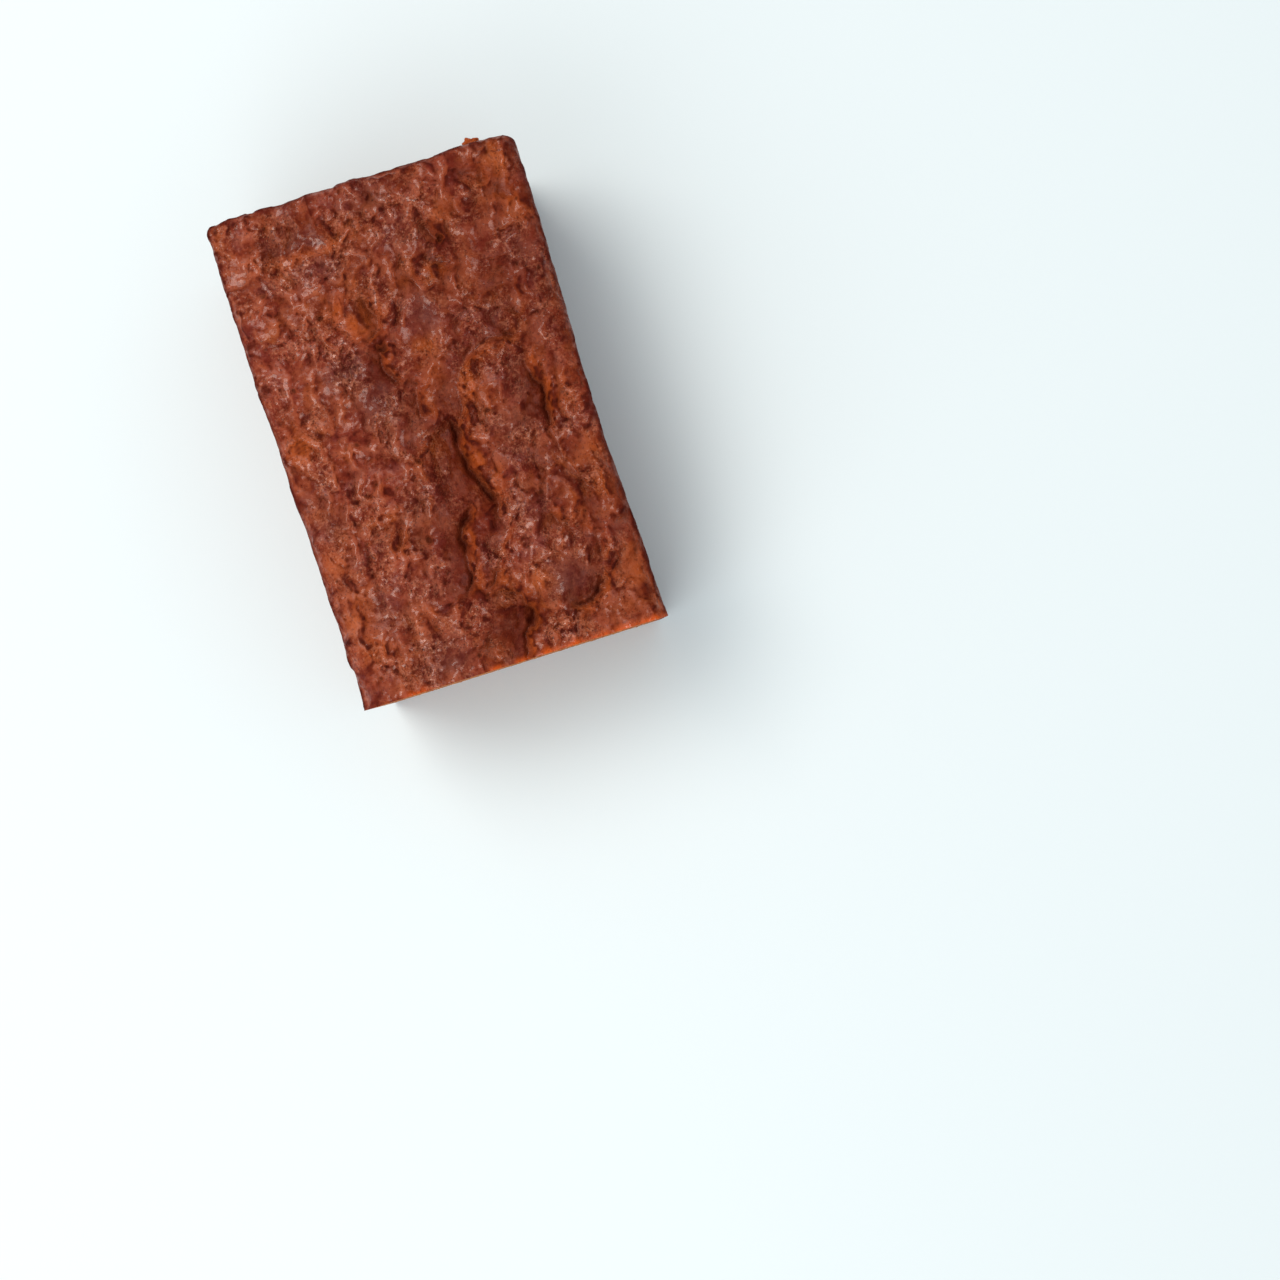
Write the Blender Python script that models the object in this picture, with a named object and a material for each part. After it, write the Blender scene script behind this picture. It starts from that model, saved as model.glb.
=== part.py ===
"""A loaf of pound cake, baked in a tin and cut across at its front end.

The loaf is one solid: a flat base, walls that lean out a little, a low domed
top with splits and swellings in its crust, and one flat cut face.

Lengths in this file are millimetres, and the finished mesh is scaled to
metres.  +Z is up and the loaf's length runs along Y, with the cut face at -Y.
The origin is on the surface the loaf rests on, under its middle.
"""
import math

import bmesh
import bpy
from mathutils import Vector, noise
from mathutils.geometry import intersect_point_line

METRES_PER_MM = 0.001

# Driving dimensions of the loaf, in millimetres unless they say otherwise.
LENGTH = 171.0
WIDTH = 107.0                 # across the rim of the cut end
BLOCK_HEIGHT = 79.5           # up to where the top starts to dome
DOME_RISE = 3.0               # extra height along the middle of the top
WALL_LEAN = math.radians(1.3)
SIDE_RADIUS = 4.0             # of the upright corners, and the reach of the rims inwards
RIM_RADIUS = 4.5              # height of the rounded rim round the top
FOOT_RADIUS = 3.0             # height of the rounded rim round the base

# How far the baked loaf is from a true block.
BACK_SHIFT = -2.4             # the uncut end sits a little to the left
BACK_WIDENING = 0.016         # and is this much wider, as a fraction
BACK_DROP = 1.6               # the dome falls away towards the uncut end
WAIST_DEPTH = 1.9             # the right wall is drawn in
WAIST_PLACE = -12.0           # at this place along Y
WAIST_REACH = 45.0
WALL_WAVE = 0.5               # swell of the walls
WALL_WAVE_LENGTH = 34.0
TOP_WAVE = 0.9                # swell of the top
TOP_WAVE_LENGTH = 15.0
SETTLE_DEPTH = 30.0           # the top's shape fades out this far below the rim

# The low shoulder along the left rim, deepest at the cut end.
SHOULDER_DROP = 3.4
SHOULDER_WIDTH = 8.5
SHOULDER_START = 10.0         # it begins here and deepens towards the cut end

# Splits in the top crust: reach on the gentle side, reach on the steep side, depth, and the
# route seen from above.  The crust rolls down gently on the right hand of a route's way and
# rises steeply on its left hand.
SPLITS = {
    "upper split": (4.5, 3.4, 2.4, ((-12, 28), (-11, 15), (-5.5, 5), (-4, 0), (1, -4))),
    "main split": (6.5, 3.5, 5.0, ((1, -3), (4, -9), (4, -20), (8, -26), (10, -30))),
    "round the lump": (4.0, 3.4, 3.6, ((10, -30), (11, -38), (8.5, -44), (5, -47))),
    "inner split": (7.0, 3.4, 4.2, ((3, -24), (-3, -38), (-3.5, -46), (-5, -54), (-8.5, -60))),
    "island back": (4.5, 3.4, 2.4, ((30, 18), (19, 18.5), (13, 16.5), (9, 5), (6, -2))),
    "island side": (5.0, 3.4, 3.2, ((33, 10), (35, 0), (35, -8), (34.5, -16), (37, -25))),
    "right bight": (4.0, 3.4, 2.2, ((24, -42), (34, -49), (39, -54), (40, -57), (33, -67))),
    "front right": (4.0, 3.4, 2.2, ((37, -64), (33, -70), (29, -73), (20, -71))),
    "notch": (7.0, 3.6, 4.8, ((8, -63), (9.5, -71), (6.5, -77), (4.5, -81), (4, -90))),
    "walnut side": (3.6, 3.4, 2.4, ((-12, 46), (-10.5, 41), (-14, 33))),
    "walnut back": (3.6, 3.4, 1.9, ((-18, 51), (-22, 48), (-29, 44))),
    "back right": (3.6, 3.4, 2.4, ((48, 63), (44, 66), (37, 69))),
    "back left": (8.0, 3.6, 3.2, ((-16, 66), (-23, 67), (-31, 67.5), (-39, 65))),
}

# Swellings of the top crust: centre, reach in X and in Y, and height.
SWELLINGS = {
    "island": (20, 3, 13, 14, 1.5),
    "walnut": (-15, 41, 4, 7, 1.7),
    "walnut neighbour": (-22, 44, 5, 5, 1.2),
    "lump in the split": (5, -37, 4, 7, 1.4),
    "lip of the split": (-10, -40, 7, 20, 1.2),
    "blob by the notch": (0, -68, 8, 8, 1.6),
    "blob front right": (28, -59, 10, 9, 1.3),
    "knob": (14, 46, 4, 3, 0.9),
    "back right corner": (43, 79, 8, 7, 1.4),
    "back left swelling": (-40, 66, 14, 12, 0.8),
    "front left swelling": (-32, -62, 12, 18, 0.7),
    "right ridge": (43, -4, 6, 20, 0.8),
}

# Cells of the grid that the block is cut into, along X, Y and Z.
CELLS = (36, 56, 10)


def smooth_step(low, high, value):
    """0 below low, 1 above high and an even ease between."""
    t = min(max((value - low) / (high - low), 0.0), 1.0)
    return t * t * (3.0 - 2.0 * t)


def offset_from_route(x, y, route):
    """Distance, seen from above, to a route of straight runs; negative on its right hand."""
    here = Vector((x, y))
    shortest = math.inf
    for start, end in zip(route, route[1:]):
        start, end = Vector(start), Vector(end)
        share = intersect_point_line(here, start, end)[1]
        away = here - start.lerp(end, min(max(share, 0.0), 1.0))
        if away.length < abs(shortest):
            shortest = math.copysign(away.length, (end - start).cross(away))
    return shortest


def split_depth(x, y):
    """Depth of the deepest split here."""
    deepest = 0.0
    for gentle, steep, depth, route in SPLITS.values():
        offset = offset_from_route(x, y, route)
        reach = gentle if offset < 0.0 else steep
        deepest = max(deepest, depth * math.exp(-((offset / reach) ** 2)))
    return deepest


def swelling_height(x, y):
    """Height added here by the swellings."""
    return sum(
        height * math.exp(-(((x - cx) / reach_x) ** 2 + ((y - cy) / reach_y) ** 2))
        for cx, cy, reach_x, reach_y, height in SWELLINGS.values()
    )


def top_height(x, y):
    """What the baked top adds to the block's height, seen from above."""
    across = 1.0 - abs(2.0 * x / WIDTH) ** 3
    back = smooth_step(0.25 * LENGTH, 0.5 * LENGTH, y)
    dome = DOME_RISE * across - BACK_DROP * back
    wave = TOP_WAVE * noise.noise(Vector((x, y, 0.0)) / TOP_WAVE_LENGTH)
    rim = 0.5 * WIDTH
    shoulder = SHOULDER_DROP * (1.0 - smooth_step(-rim, -rim + SHOULDER_WIDTH, x))
    shoulder *= 1.0 - smooth_step(-0.4 * LENGTH, SHOULDER_START, y)
    return dome + wave + swelling_height(x, y) - split_depth(x, y) - shoulder


def round_rims(point):
    """Round the block's rims and upright corners, and leave the cut end square."""
    core = Vector((
        min(max(point.x, SIDE_RADIUS - WIDTH / 2), WIDTH / 2 - SIDE_RADIUS),
        min(point.y, LENGTH / 2 - SIDE_RADIUS),
        min(max(point.z, FOOT_RADIUS), BLOCK_HEIGHT - RIM_RADIUS),
    ))
    height_radius = FOOT_RADIUS if point.z < core.z else RIM_RADIUS
    radii = Vector((SIDE_RADIUS, SIDE_RADIUS, height_radius))
    out = Vector((point[i] - core[i]) / radii[i] for i in range(3))
    if out.length == 0.0:
        return point.copy()
    out *= max(abs(part) for part in out) / out.length
    return Vector(core[i] + out[i] * radii[i] for i in range(3))


def lean_walls(point):
    """Draw the walls in towards the base, but keep the cut end where it is."""
    inset = (BLOCK_HEIGHT - point.z) * math.tan(WALL_LEAN)
    point.x *= 1.0 - inset / (WIDTH / 2)
    share = (point.y + LENGTH / 2) / LENGTH
    point.y -= inset * share


def swell_walls(point):
    """Give the walls a gentle swell, which leaves the base and the cut face flat."""
    side = smooth_step(0.4 * WIDTH, 0.5 * WIDTH, abs(point.x))
    end = smooth_step(0.44 * LENGTH, 0.5 * LENGTH, point.y)
    wave = WALL_WAVE * noise.noise(point / WALL_WAVE_LENGTH)
    point.x += math.copysign(side * wave, point.x)
    point.y += end * wave


def set_off_square(point):
    """Shift and widen the uncut end and draw in the waist, as a baked loaf is never quite square."""
    share = (point.y + LENGTH / 2) / LENGTH
    waist = WAIST_DEPTH * math.exp(-(((point.y - WAIST_PLACE) / WAIST_REACH) ** 2))
    waist *= smooth_step(0.0, WIDTH / 2, point.x)
    point.x = point.x * (1.0 + BACK_WIDENING * share) + BACK_SHIFT * share - waist


def cut_block():
    """A cube cut into a grid of cells and stretched to the block's size."""
    bm = bmesh.new()
    bmesh.ops.create_cube(bm, size=1.0)
    for axis, cells in enumerate(CELLS):
        along = [e for e in bm.edges if abs(e.verts[0].co[axis] - e.verts[1].co[axis]) > 0.5]
        bmesh.ops.subdivide_edges(bm, edges=along, cuts=cells - 1, use_grid_fill=True)
    for vertex in bm.verts:
        vertex.co.x *= WIDTH
        vertex.co.y *= LENGTH
        # rows lie closer together towards the two rounded rims
        vertex.co.z = BLOCK_HEIGHT * (1.0 + math.sin(math.pi * vertex.co.z)) / 2.0
    return bm


def shape_loaf(bm):
    """Turn the block into the baked loaf."""
    for vertex in bm.verts:
        point = round_rims(vertex.co)
        settle = smooth_step(BLOCK_HEIGHT - SETTLE_DEPTH, BLOCK_HEIGHT - RIM_RADIUS, point.z)
        rise = settle * top_height(point.x, point.y)
        lean_walls(point)
        swell_walls(point)
        set_off_square(point)
        point.z += rise
        vertex.co = point


def merge_flat_faces(bm):
    """Make one face of the base, and one of the cut end."""
    tolerance = 1e-4
    base = [f for f in bm.faces if all(abs(v.co.z) < tolerance for v in f.verts)]
    bmesh.ops.dissolve_faces(bm, faces=base, use_verts=True)
    front = min(v.co.y for v in bm.verts)
    cut = [f for f in bm.faces if all(abs(v.co.y - front) < tolerance for v in f.verts)]
    bmesh.ops.dissolve_faces(bm, faces=cut, use_verts=True)


def stand_at_origin(bm):
    """Scale to metres, and put the origin under the middle of the loaf's box."""
    bmesh.ops.scale(bm, vec=Vector((1, 1, 1)) * METRES_PER_MM, verts=bm.verts)
    low = Vector(min(v.co[i] for v in bm.verts) for i in range(3))
    high = Vector(max(v.co[i] for v in bm.verts) for i in range(3))
    middle = (low + high) / 2
    bmesh.ops.translate(bm, vec=Vector((-middle.x, -middle.y, -low.z)), verts=bm.verts)


def crust_material():
    """Baked crust: red-brown, matt with a little sugar gloss."""
    material = bpy.data.materials.new("crust")
    material.use_nodes = True
    shader = material.node_tree.nodes["Principled BSDF"]
    shader.inputs["Base Color"].default_value = (0.216, 0.048, 0.021, 1.0)
    shader.inputs["Roughness"].default_value = 0.55
    shader.inputs["Metallic"].default_value = 0.0
    return material


def make_loaf():
    """Build the loaf and add it to the scene."""
    bm = cut_block()
    shape_loaf(bm)
    merge_flat_faces(bm)
    stand_at_origin(bm)
    bmesh.ops.triangulate(bm, faces=bm.faces)
    bmesh.ops.recalc_face_normals(bm, faces=bm.faces)
    mesh = bpy.data.meshes.new("loaf")
    bm.to_mesh(mesh)
    bm.free()
    mesh.shade_smooth()
    mesh.set_sharp_from_angle(angle=math.radians(50))
    mesh.materials.append(crust_material())
    loaf = bpy.data.objects.new("loaf", mesh)
    bpy.context.scene.collection.objects.link(loaf)
    return loaf


for leftover in list(bpy.data.objects):
    bpy.data.objects.remove(leftover)
make_loaf()
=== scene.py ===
# %% [markdown]
# # A cut loaf of pound cake
#
# The loaf was baked in a tin and has been cut across at its front end. Its top has a red-brown crust that
# split as it rose, its walls are the flatter crust that lay against the tin, and the cut shows a golden,
# porous crumb. The packed solid already has the right size and the large splits. This script makes the
# fine surface that stands for it: one skin wrapped round the same block, cut into a piece for each side.

# %% The frame
import math

import bmesh
import bpy
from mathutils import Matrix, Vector, noise
from mathutils.geometry import intersect_point_line


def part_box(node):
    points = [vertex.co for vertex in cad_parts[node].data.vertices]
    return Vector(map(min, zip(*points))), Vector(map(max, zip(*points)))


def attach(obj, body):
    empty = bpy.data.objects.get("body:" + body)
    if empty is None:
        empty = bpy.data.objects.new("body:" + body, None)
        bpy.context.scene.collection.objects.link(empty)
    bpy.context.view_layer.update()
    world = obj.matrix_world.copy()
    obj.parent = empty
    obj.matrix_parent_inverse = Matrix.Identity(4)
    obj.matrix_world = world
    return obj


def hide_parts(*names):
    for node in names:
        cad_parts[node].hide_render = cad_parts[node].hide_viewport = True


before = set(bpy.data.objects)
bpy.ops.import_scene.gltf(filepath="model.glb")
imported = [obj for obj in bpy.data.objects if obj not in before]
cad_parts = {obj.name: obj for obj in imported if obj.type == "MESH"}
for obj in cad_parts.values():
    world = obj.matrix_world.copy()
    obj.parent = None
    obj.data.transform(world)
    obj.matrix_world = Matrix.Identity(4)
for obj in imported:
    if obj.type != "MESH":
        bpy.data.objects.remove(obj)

# the noise that bends space is seeded, so that the loaf comes out the same each time
noise.seed_set(7)

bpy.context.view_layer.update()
MM = 0.001
LOAF_LOW, LOAF_HIGH = (Vector(corner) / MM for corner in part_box("loaf"))
LOAF_SIZE = LOAF_HIGH - LOAF_LOW
print("the packed loaf measures", [round(side, 1) for side in LOAF_SIZE], "mm")

# %% [markdown]
# ## The block the loaf is shaped from
#
# A baked loaf is a block with its edges rounded, its walls leaning out and its top domed. All lengths
# below are in millimetres, because crumbs and cracks are easier to think of that way, and the finished
# mesh is scaled to metres. The block is a little narrower and lower than the packed loaf's box, which
# also holds the wide far end and the dome.

# %% Driving sizes
WIDTH, LENGTH, HEIGHT = LOAF_SIZE - Vector((2.9, 0.0, 4.7))
FRONT = -LENGTH / 2
SIDE_RADIUS = 4.0
RIM_RADIUS = 4.5
FOOT_RADIUS = 3.0
WALL_LEAN = math.radians(1.3)
DOME_RISE = 3.0
BACK_DROP = 1.6
BACK_SHIFT = -2.4
BACK_WIDENING = 0.016
WAIST_DEPTH, WAIST_PLACE, WAIST_REACH = 1.9, -12.0, 45.0
SETTLE_DEPTH = 30.0
SHOULDER_DROP, SHOULDER_REACH = 3.4, 8.5
WAVE_HEIGHT, WAVE_SIZE = 0.9, 15.0
CELLS = (236, 378, 104)
print(f"block {WIDTH:.1f} x {LENGTH:.1f} x {HEIGHT:.1f} mm, cells of {WIDTH / CELLS[0]:.2f} mm")

# %% [markdown]
# ## Splits, swellings and holes
#
# As the middle of the batter rises, the crust that has already set tears along a few lines and bulges between
# them. These accidents give the loaf its face, so they are placed one by one, on a plan seen from above. A
# split isn't even: on one side the crust rolls down into it gently, and on the other it stands up steeply,
# torn and orange. Going along a route, the gentle side is always on the right hand.

# %% The splits
# reach of the gentle side and of the steep side, depth, extra depth of the crack at the bottom, and the route
SPLITS = {
    "main split": (
        6.8, 2.1, 4.6, 2.0, ((2, 1), (4.2, -6), (4, -16), (4.8, -20.5), (6.5, -24.5), (9, -29),
        (11.5, -34)),
    ),
    "main branch": (1.6, 1.2, 0.8, 0.5, ((3, -7), (6.5, -9), (11, -12))),
    "round the lump": (
        3.1, 1.9, 2.2, 1.0, ((8, -27), (11, -31.5), (10, -35), (10.6, -38.5), (9.5, -42), (6, -46),
        (4, -50)),
    ),
    "inner split": (
        8.2, 2.2, 3.8, 2.1, ((2, -28), (-2, -34), (-4, -38), (-4.4, -43), (-4.8, -49), (-5.8, -54),
        (-9.5, -62)),
    ),
    "upper split": (5.5, 2.2, 3.2, 1.1, ((-11.5, 30), (-12.5, 22), (-11, 17), (-7.5, 13))),
    "upper middle": (3.5, 1.7, 2.0, 1.0, ((-5.5, 17), (-3.2, 12.5), (-5.2, 8), (-5.5, 3), (-2, -3))),
    "left of the middle": (2.0, 1.2, 0.9, 0.4, ((-7, -3), (-9, -5.5), (-13, -8))),
    "walnut side": (2.8, 1.8, 1.9, 1.0, ((-11, 49), (-12, 43), (-10.8, 38), (-12, 34), (-16, 30))),
    "walnut back": (2.0, 1.5, 1.8, 1.3, ((-17.5, 51), (-21, 48.3), (-24.5, 45.5), (-30, 42.5))),
    "right of the walnut": (1.5, 1.1, 0.8, 0.5, ((-8, 49.5), (-8, 44))),
    "island back": (
        6.1, 2.1, 2.8, 1.1, ((35, 18), (27, 20.5), (20.5, 19), (15.5, 17.4), (12.2, 14.5), (10.3, 9.5),
        (9, 3.5), (7, -2), (4, -8)),
    ),
    "island side": (5.0, 1.7, 3.2, 1.6, ((31.5, 14), (34, 5), (35.2, 0), (35.3, -8), (34, -15))),
    "island foot": (
        2.2, 1.6, 1.0, 0.4, ((33.5, -12), (35, -17), (35.4, -24), (38, -28), (40.8, -37), (44.5, -47)),
    ),
    "island toe": (1.6, 1.2, 0.7, 0.5, ((32.5, -15.8), (36, -16.6), (41, -16.4))),
    "island front": (3.2, 1.4, 1.2, 0.4, ((34, -8), (31, -9.4), (25, -12), (18, -15))),
    "right bight": (
        3.5, 2.5, 2.2, 1.0, ((23, -41), (28, -44), (31.5, -46.5), (34.5, -49.5), (38.5, -53), (39.3, -57),
        (38, -63)),
    ),
    "right rim notch": (2.4, 1.7, 1.6, 0.5, ((43, -51.5), (48, -50.5), (57, -48.5))),
    "front right hollow": (
        4.4, 2.1, 2.8, 1.3, ((39, -61), (35.5, -67.5), (32, -71.5), (28.5, -73.5), (22, -73)),
    ),
    "front right fold": (2.4, 1.4, 1.2, 0.5, ((24, -72), (21, -72.6), (17.5, -69.5), (17, -66))),
    "notch band": (3.1, 1.6, 1.8, 1.1, ((0, -60.5), (4, -62.5), (8, -64.8), (8.9, -68), (10.4, -73))),
    "notch": (
        7.7, 2.1, 4.6, 1.9, ((10, -66), (10.2, -71), (8.6, -74.5), (6.3, -77.5), (4.8, -81), (4.2, -92)),
    ),
    "short split": (2.0, 1.4, 1.5, 1.1, ((0.4, -50.5), (2.8, -55), (1.2, -58), (-2, -61))),
    "patch line": (1.5, 1.1, 0.8, 0.5, ((12.2, -52.5), (12.7, -58.5))),
    "back right split": (3.5, 1.6, 2.4, 1.4, ((49, 62), (45, 65.3), (42, 67), (37.5, 69))),
    "corner fold": (3.1, 1.5, 1.6, 0.8, ((41, 70.5), (37, 72.5), (33, 75), (28.5, 76.5))),
    "knob crack": (2.4, 1.5, 1.8, 1.1, ((14.2, 67), (15.3, 60), (17.5, 54.5))),
    "knob recess": (3.7, 1.8, 2.4, 0.8, ((20.5, 45.5), (17.5, 49.5), (14, 51.5), (8.5, 52.3))),
    "below the knob": (1.6, 1.2, 1.0, 0.5, ((20, 46.5), (17, 43), (12.5, 42))),
    "thin crack": (1.2, 1.0, 0.7, 0.5, ((3.7, 51.5), (4.6, 46.5), (6, 43), (9.5, 41.5))),
    "right back crack": (1.9, 1.2, 1.1, 0.5, ((40.2, 61), (39.2, 57), (39.6, 53.5))),
    "right back second": (1.8, 1.2, 1.0, 0.5, ((38, 50.5), (38.6, 45), (37.6, 42))),
    "right middle crack": (2.0, 1.4, 1.1, 0.5, ((38, 37), (32, 37.6), (26, 35.8))),
    "right column": (2.7, 1.4, 1.3, 0.5, ((16.5, 32), (15, 26.5), (17, 21))),
    "right column upper": (1.9, 1.2, 1.0, 0.5, ((27.5, 29.5), (22.5, 33.2), (19, 36.5))),
    "right column lower": (2.2, 1.3, 1.1, 0.5, ((40, 24), (35, 26), (33.3, 20.5))),
    "back left valley": (9.0, 5.5, 3.6, 0.0, ((-15, 70), (-20, 67.5), (-26, 69.5), (-33, 67), (-41, 69))),
    "back left crease": (1.9, 1.2, 1.1, 0.6, ((-46, 73), (-43, 69), (-41, 65))),
    "back left fold": (2.0, 1.2, 1.1, 0.4, ((-30.5, 77.5), (-35, 74.5), (-40, 72))),
    "left rim crack": (1.8, 1.2, 0.9, 0.5, ((-53.4, 78), (-53.6, 70), (-50, 65.5))),
    "streak": (1.8, 1.2, 1.1, 0.5, ((-15.3, 61.5), (-17, 56), (-19.2, 50.5))),
    "streak beside it": (1.5, 1.1, 0.9, 0.4, ((-12.6, 65), (-14.6, 60), (-15.2, 55))),
    "left back crack": (1.8, 1.2, 0.9, 0.5, ((-30, 48.4), (-35, 49.4), (-40, 48.2))),
    "left back second": (1.5, 1.1, 0.8, 0.5, ((-41.5, 49.2), (-47, 47.8))),
    "left back third": (1.4, 1.1, 0.8, 0.4, ((-36, 38.6), (-38.5, 37.4), (-40.5, 35))),
    "left crack": (1.8, 1.2, 1.0, 0.5, ((-43, 10.5), (-47, 8.6), (-51, 6.8), (-57, 5))),
    "left split": (2.2, 1.3, 1.3, 0.6, ((-36, -15.5), (-38.4, -18.6), (-40.5, -23), (-41.2, -30))),
    "crease": (1.9, 1.2, 1.2, 0.6, ((-25, -28), (-27.5, -32), (-30.5, -36))),
    "crease beside it": (1.9, 1.2, 1.2, 0.6, ((-20.5, -28), (-23.6, -34), (-25.3, -37.5), (-23, -41))),
    "left low crack": (2.0, 1.3, 1.1, 0.5, ((-45, -43.5), (-48.8, -49), (-49.7, -57))),
    "wrinkle": (1.6, 1.1, 0.9, 0.5, ((-39.5, -42), (-34.5, -43), (-32.6, -45.8))),
    "front left crack": (1.6, 1.1, 0.9, 0.5, ((-42, -65.2), (-46, -64.3), (-50.5, -65.5))),
    "front left second": (1.9, 1.2, 1.1, 0.5, ((-38.4, -70.5), (-36.8, -74), (-36, -79))),
    "front left third": (1.5, 1.1, 0.9, 0.5, ((-34, -77.5), (-33.8, -84))),
    "front line": (1.6, 1.2, 0.9, 0.4, ((-10.5, -69.6), (-15, -70.3), (-20, -69.6))),
    "back rim fold": (2.2, 1.1, 1.0, 0.2, ((-15.8, 90), (-16.4, 83), (-19.5, 77))),
}
print(len(SPLITS), "splits")

# %% The swellings and the holes
# centre, reach in X and in Y, and height of each swelling
SWELLINGS = {
    "island": (20, 3, 13, 14, 1.5),
    "island rim": (14.5, 13.5, 4, 3, 0.9),
    "walnut": (-16, 41.5, 3.6, 7.5, 2.1),
    "walnut neighbour": (-23, 43, 4, 4.5, 1.3),
    "lump in the split": (5, -37.5, 4, 7, 1.9),
    "ridge below the lump": (0.5, -48, 2.6, 6, 0.9),
    "lip of the split": (-10, -40, 7, 20, 1.2),
    "blob by the notch": (0, -69, 7.5, 7, 1.7),
    "blob front right": (27, -60, 9, 10, 1.3),
    "knob": (14, 46.3, 3.6, 2.4, 1.1),
    "back right corner": (43, 79, 8, 7, 1.3),
    "back left swelling": (-38, 74, 9, 5, 1.1),
    "left back swelling": (-40, 60, 9, 6, 0.7),
    "front left swelling": (-32, -62, 12, 18, 0.7),
    "right ridge": (43, -4, 6, 20, 0.8),
    "pale lump": (28, 36, 3.2, 2.6, 0.7),
    "pale lump beside it": (33.5, 35, 3, 2.6, 0.7),
    "column lump": (19, 27, 3, 5, 0.9),
    "purple lump": (26.5, 28, 3, 3, 0.9),
    "right column lump": (45, 28, 5, 8, 0.6),
    "split shoulder": (13, -20, 5, 9, 0.8),
    "cut corner": (46, -66, 6, 9, 0.8),
    "patch lump": (7, -56, 4, 5, 0.8),
    "middle lump": (2.5, 3, 3.5, 5, 0.8),
    "middle ridge": (1, 20, 4, 8, 0.7),
}

# centre, radius and depth of each lone hole
HOLES = {
    "black hole": (-11, 27.5, 2.3, 4.0),
    "hole below it": (-3.6, 13.5, 1.7, 2.6),
    "knob hole": (18, 56.8, 1.9, 3.2),
    "hole beside it": (15, 55.4, 1.3, 1.8),
    "walnut hole": (-28, 43.5, 1.1, 1.4),
    "left back hole": (-44, 56.5, 1.1, 1.2),
    "split pit": (11.4, -31.4, 1.7, 2.6),
    "inner pit": (-4.6, -43.5, 1.7, 2.4),
    "left pit": (-28.5, -0.5, 1.1, 1.1),
    "left front pit": (-22, -24, 1.1, 1.2),
    "lip pit": (-15, -37.5, 1.2, 1.6),
    "crease pit": (-35.5, -33, 1.0, 1.5),
    "front pit": (-27.5, -78.5, 1.1, 1.0),
    "purple pit": (16.5, -2, 1.1, 0.7),
    "foot pit": (43.5, -45.5, 1.1, 1.1),
    "wrinkle pit": (-32.6, -44.6, 1.0, 1.5),
    "hollow pit": (33.5, -70, 1.5, 1.8),
    "hollow pit beside it": (30, -73, 1.6, 1.8),
    "notch pit": (9, -73, 1.7, 1.6),
}
# centres of the small holes, which are all about 0.7 mm across
SMALL_HOLES = (
    (-26.5, 58.5), (-50, 51.5), (-43.5, 23.5), (-24.5, 21), (-31.5, 17.5), (-30, 13), (-42.5, 12.5),
    (-33, -3), (-34, 2.5), (-26.5, -14.5), (-21, -14), (-23, -19), (-13, -32), (-10.5, -12),
    (-49, -41.5), (-44, -54.5), (-27.5, -56), (-25, -60.5), (-21.5, -66), (-32, -70.5),
    (-18.5, -71.5), (-15, -47.5), (-25.5, -73), (-44.5, -77), (-10.5, -79.5), (-2, -61), (23.5, 9),
    (38, 7), (43.5, -4.5), (46, -18.5), (25.3, -33.5), (21, -31.5), (14, -8.5), (18.2, -44.5),
    (15.8, -49.5), (47, 38.5), (44, 46), (46.5, 63), (-15, 62),
)
HOLES.update({f"small hole {i}": (x, y, 0.65, 0.9) for i, (x, y) in enumerate(SMALL_HOLES)})
print(len(SWELLINGS), "swellings and", len(HOLES), "holes")

# %% [markdown]
# ## Patches of colour and texture
#
# The crust isn't one brown. It baked to a dull purple-brown where it stood proud and dried, and stayed orange
# where moist batter came up through the splits. Some stretches are smooth, and others are a fine froth of
# burst bubbles whose sticky walls glisten. These broad patches are placed one by one too, and kept on the
# mesh as values that the finish reads.

# %% Patches of colour
# centre, reach in X and in Y, and strength
DUSKY = {
    "smooth patch": (6, 35, 6, 7, 1.0),
    "left of the split": (-24, 24, 8, 6, 0.9),
    "beside the split": (-18, 12, 8, 10, 0.85),
    "back middle": (-2, 77, 8, 5, 0.6),
    "back left": (-25, 61, 8, 6, 0.7),
    "back centre": (6, 62, 9, 6, 0.55),
    "left edge": (-46, -22, 6, 8, 0.55),
    "front left": (-22, -79, 9, 5, 0.9),
    "front left upper": (-21, -72, 8, 4, 0.6),
    "front far left": (-36, -58, 6, 7, 0.5),
    "middle front": (-20, -55, 8, 8, 0.3),
    "island front": (25, -9, 8, 6, 0.6),
    "island middle": (26, 2, 6, 7, 0.4),
    "right front blob": (26, -63, 7, 7, 0.95),
    "right of the split": (19, -38, 8, 6, 0.45),
    "right back": (43, 45, 5, 9, 0.65),
    "upper right": (27, 28, 4, 4, 0.6),
    "lip": (-16, -28, 6, 8, 0.4),
    "beside the lump": (20, -18, 5, 5, 0.5),
    "middle": (-11, -1, 6, 6, 0.4),
}
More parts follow.
